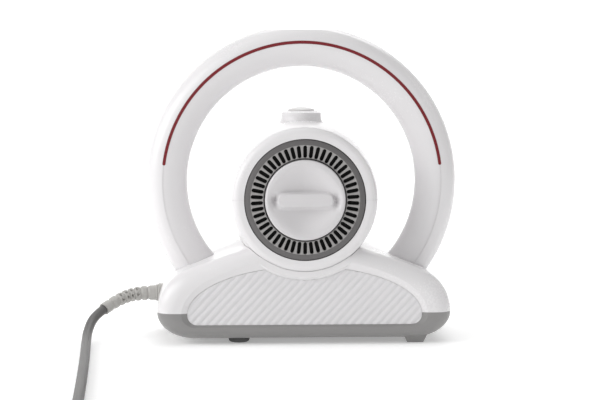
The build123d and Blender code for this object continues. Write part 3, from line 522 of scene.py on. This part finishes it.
dial = {
    "radius": 30.0,
    "front": -63.0,
    "back": -52.0,
    "edge": 1.5,
    "dishRadius": 25.6,
    "dishDepth": 6.8,
    "dishSoftness": 0.9,
    "dishFade": 4,
    "rimFade": 0.5,
    "pinch": 0.08,
    "barHalfLength": 20.9,
    "barHalfHeight": 5.3,
    "barDrop": 0.25,
    "barShoulder": 0.9,
    "flankAbove": 1.4,
    "flankBelow": 2.6,
    "pocketPlace": 23.0,
    "pocketRadius": 2.7,
    "pocketDepth": 4.6,
    "pocketStretch": (1.1, 0.6),
    "pocketDrop": 0.4,
    "rings": 76,
    "ringSpread": 0.9,
    "edgeSteps": 6,
    "rearStep": 2.0,
    "segments": 240,
}


def dialDepth(x, z):
    # how far the dial's face lies behind its rim
    radius = math.hypot(x, z)
    angle = math.atan2(z, x)
    spread = dial["dishRadius"] * (1 - dial["pinch"] * math.sin(2 * angle) ** 2)
    bowl = dial["dishDepth"] * (1 - (radius / spread) ** 2)
    soft = dial["dishSoftness"]
    fade = smoothStep(spread, spread + dial["dishFade"], radius)
    dish = 0.5 * (bowl + math.sqrt(bowl * bowl + soft * soft)) - 0.5 * soft * fade
    dish *= 1 - smoothStep(spread + dial["rimFade"], dial["radius"] - dial["edge"], radius)
    straight = dial["barHalfLength"] - dial["barHalfHeight"]
    fromBar = math.hypot(max(abs(x) - straight, 0), z) - dial["barHalfHeight"]
    flank = dial["flankAbove"] if z > 0 else dial["flankBelow"]
    bar = 1 - smoothStep(-dial["barShoulder"], flank, fromBar)
    depth = dish * (1 - bar) + min(dish, dial["barDrop"]) * bar
    wide, tall = dial["pocketStretch"]
    fromPocket = math.hypot((abs(x) - dial["pocketPlace"]) * wide, (z + dial["pocketDrop"]) * tall)
    pocket = fromPocket / dial["pocketRadius"]
    return depth + dial["pocketDepth"] * math.exp(-pocket * pocket) * (1 - bar)


def makeDial():
    flatRadius = dial["radius"] - dial["edge"]
    rings = []
    for step in range(dial["rings"]):
        rings.append((flatRadius * ((step + 1) / dial["rings"]) ** dial["ringSpread"], None))
    for step in range(1, dial["edgeSteps"] + 1):
        turn = math.pi / 2 * step / dial["edgeSteps"]
        rings.append((flatRadius + dial["edge"] * math.sin(turn), dial["edge"] * (1 - math.cos(turn))))
    rings.append((dial["radius"], dial["back"] - dial["front"]))
    rings.append((dial["radius"] - dial["rearStep"], dial["back"] - dial["front"]))
    segments = dial["segments"]
    vertices = []
    for radius, drop in rings:
        for segment in range(segments):
            angle = 2 * math.pi * segment / segments
            x, z = radius * math.cos(angle), radius * math.sin(angle)
            depth = dialDepth(x, z) if drop is None else drop
            vertices.append((x, dial["front"] + depth, axisHeight + z))
    faces = gridFaces(len(rings), segments, closed=True)
    middle = len(vertices)
    vertices.append((0, dial["front"] + dialDepth(0, 0), axisHeight))
    faces += [(middle, (segment + 1) % segments, segment) for segment in range(segments)]
    faces = [tuple(reversed(face)) for face in faces]
    last = (len(rings) - 1) * segments
    faces.append(tuple(last + segment for segment in range(segments)))
    addPiece("dial_face", vertices, faces, "dial_white", "timer_dial", body="dial", sharp=50)


makeDial()
print("dial shaped")


# intake grille: a ring of slots with rounded lips

grille = {
    "front": -60.0,
    "outer": 44.95,
    "inner": 30.75,
    "slots": 50,
    "slotInner": 31.4,
    "slotOuter": 40.6,
    "slotHalfWidth": 1.42,
    "lip": 0.34,
    "depth": 4.7,
    "edge": 0.4,
    "bandInner": 31.0,
    "bandOuter": 41.0,
    "sidePoints": 5,
    "endPoints": 6,
    "lipSteps": 4,
    "weld": 0.02,
}


def slotLoop(offset):
    # points round one slot that lies along X, grown by an offset, from its inner end anticlockwise
    half, count = grille["slotHalfWidth"], grille["endPoints"]
    near, far = grille["slotInner"] + half, grille["slotOuter"] - half
    loop = []
    for step in range(count + 1):
        turn = -math.pi / 2 + math.pi * step / count
        loop.append((far + (half + offset) * math.cos(turn), (half + offset) * math.sin(turn)))
    for step in range(1, grille["sidePoints"]):
        loop.append((far + (near - far) * step / grille["sidePoints"], half + offset))
    for step in range(count + 1):
        turn = math.pi / 2 + math.pi * step / count
        loop.append((near + (half + offset) * math.cos(turn), (half + offset) * math.sin(turn)))
    for step in range(1, grille["sidePoints"]):
        loop.append((near + (far - near) * step / grille["sidePoints"], -half - offset))
    return loop


def cellLoop():
    # the same number of points round the slot's share of the ring, as radius and angle
    halfAngle = math.pi / grille["slots"]
    count, sides = grille["endPoints"], grille["sidePoints"]
    near, far = grille["slotInner"] + grille["slotHalfWidth"], grille["slotOuter"] - grille["slotHalfWidth"]
    low, high = grille["bandInner"], grille["bandOuter"]
    loop = [(high, halfAngle * (2 * step / count - 1)) for step in range(count + 1)]
    loop += [(high + (low - high) * step / sides, halfAngle) for step in range(1, sides)]
    loop += [(low, halfAngle * (1 - 2 * step / count)) for step in range(count + 1)]
    loop += [(low + (high - low) * step / sides, -halfAngle) for step in range(1, sides)]
    return loop


def grillePlace(radius, angle, drop):
    x, z = radius * math.cos(angle), radius * math.sin(angle)
    return x, grille["front"] + drop, axisHeight + z


def makeGrille():
    vertices, faces = [], []
    lip = grille["lip"]
    levels = [(0.0, grille["depth"]), (0.0, lip)]
    for step in range(1, grille["lipSteps"]):
        turn = math.pi / 2 * step / grille["lipSteps"]
        levels.append((lip * (1 - math.cos(turn)), lip * (1 - math.sin(turn))))
    levels.append((lip, 0.0))
    for slotNumber in range(grille["slots"]):
        facing = 2 * math.pi * slotNumber / grille["slots"] + math.pi / 2
        start = len(vertices)
        for offset, drop in levels:
            for along, aside in slotLoop(offset):
                x = along * math.cos(facing) - aside * math.sin(facing)
                z = along * math.sin(facing) + aside * math.cos(facing)
                vertices.append((x, grille["front"] + drop, axisHeight + z))
        for radius, angle in cellLoop():
            vertices.append(grillePlace(radius, facing + angle, 0.0))
        count = len(cellLoop())
        faces += gridFaces(len(levels) + 1, count, closed=True, start=start)
    segments = grille["slots"] * grille["endPoints"]
    edge = grille["edge"]
    outside = [(grille["bandOuter"], 0.0), (grille["outer"] - edge, 0.0)]
    outside += [(grille["outer"], edge), (grille["outer"], grille["depth"])]
    inside = [(grille["inner"], grille["depth"]), (grille["inner"], edge / 2)]
    inside += [(grille["inner"] + edge / 2, 0.0), (grille["bandInner"], 0.0)]
    for profile in (outside, inside):
        start = len(vertices)
        for radius, drop in profile:
            for segment in range(segments):
                angle = 2 * math.pi * (segment + 0.5 * grille["endPoints"]) / segments + math.pi / 2
                vertices.append(grillePlace(radius, angle, drop))
        faces += gridFaces(len(profile), segments, closed=True, start=start)
    faces = [tuple(reversed(face)) for face in faces]
    piece = addPiece("intake_slots", vertices, faces, "grille_grey", "intake_grille", sharp=60)
    shape = bmesh.new()
    shape.from_mesh(piece.data)
    bmesh.ops.remove_doubles(shape, verts=shape.verts, dist=grille["weld"] * mm)
    shape.to_mesh(piece.data)
    shape.free()


makeGrille()
print("grille cut")


# strain relief: a flange, then a tapered sleeve that bends down to the floor, grooved and pierced

relief = {
    "route": [(-112.8, 12.0, 32.0), (-126.0, 12.0, 32.0), (-141.5, 6.5, 28.0), (-152.5, -5.0, 21.3)],
    "flangeStart": -111.2,
    "flangeRadius": 6.55,
    "flangeFrontEdge": 0.4,
    "flangeBackEdge": 0.3,
    "neckRadius": 5.0,
    "neckLength": 11.0,
    "startRadius": 5.85,
    "tipRadius": 4.65,
    "length": 46.0,  # about that of the sleeve's middle line
    "boreRadius": 3.75,
    "boreDepth": 2.5,
    "grooves": 8,
    "grooveDepth": 1.0,
    "grooveHalfWidth": 0.16,  # as a share of the way from one groove to the next
    "holeAngles": (35, 90),  # from the top, towards the front, degrees
    "holes": 4,  # in each row
    "firstHole": 2.5,  # counted in grooves from the flange
    "holeRadius": 1.15,
    "holeDepth": 2.4,
    "rows": 150,
    "segments": 72,
}


def reliefPlace(share):
    # the middle line of the sleeve and its direction, as a smooth curve inside the route's corners
    first, second, third, last = [Vector(place) for place in relief["route"]]
    halfWay = (second + third) / 2
    start, corner, end = (first, second, halfWay) if share < 0.5 else (halfWay, third, last)
    along = 2 * share if share < 0.5 else 2 * share - 1
    place = start * (1 - along) ** 2 + corner * 2 * along * (1 - along) + end * along**2
    return place, ((corner - start) * (1 - along) + (end - corner) * along).normalized()


def reliefRadius(share, angle):
    # the sleeve's taper, less its grooves and holes
    radius = relief["startRadius"] + (relief["tipRadius"] - relief["startRadius"]) * share
    beat = share * relief["grooves"]
    fromGroove = abs(beat - round(beat)) / relief["grooveHalfWidth"]
    if 0.5 < beat < relief["grooves"] - 0.5:
        radius -= relief["grooveDepth"] * math.exp(-fromGroove * fromGroove)
    for holeAngle in relief["holeAngles"]:
        for hole in range(relief["holes"]):
            place = (hole + relief["firstHole"]) / relief["grooves"]
            along = (share - place) * relief["length"]
            aside = (2 * math.pi - angle - math.radians(holeAngle)) * radius
            away = math.hypot(along, aside) / relief["holeRadius"]
            radius -= relief["holeDepth"] * math.exp(-(away**4))
    return radius


def makeRelief():
    segments, rows = relief["segments"], relief["rows"]
    vertices = []

    def addRing(middle, facing, radiusAt):
        side = facing.cross(Vector((0, 0, 1))).normalized()
        top = side.cross(facing)
        for segment in range(segments):
            angle = 2 * math.pi * segment / segments
            spoke = top * math.cos(angle) + side * math.sin(angle)
            vertices.append(tuple(middle + spoke * radiusAt(angle)))

    outward = Vector((-1, 0, 0))
    start = Vector(relief["route"][0])
    flange, neck = relief["flangeRadius"], relief["neckRadius"]
    frontEdge, backEdge = relief["flangeFrontEdge"], relief["flangeBackEdge"]
    flangeEnd = start.x - relief["flangeStart"]
    profile = [(relief["neckLength"], neck), (0.0, neck), (0.0, flange - backEdge), (-backEdge, flange)]
    profile += [(flangeEnd + frontEdge, flange), (flangeEnd, flange - frontEdge)]
    for along, radius in profile:
        middle = Vector((relief["flangeStart"] + along, start.y, start.z))
        addRing(middle, outward, lambda angle, radius=radius: radius)
    for row in range(rows + 1):
        share = row / rows
        middle, facing = reliefPlace(share)
        addRing(middle, facing, lambda angle, share=share: reliefRadius(share, angle))
    middle, facing = reliefPlace(1.0)
    addRing(middle, facing, lambda angle: relief["boreRadius"])
    addRing(middle - facing * relief["boreDepth"], facing, lambda angle: relief["boreRadius"])
    faces = gridFaces(len(vertices) // segments, segments, closed=True)
    faces.append(tuple(reversed(range(segments))))
    last = len(vertices) - segments
    faces.append(tuple(last + segment for segment in range(segments)))
    return addPiece("relief_sleeve", vertices, faces, "collar_grey", "strain_relief", sharp=60)


sleeve = makeRelief()
print("strain relief shaped")


tuple(point(*cord["route"][0]))
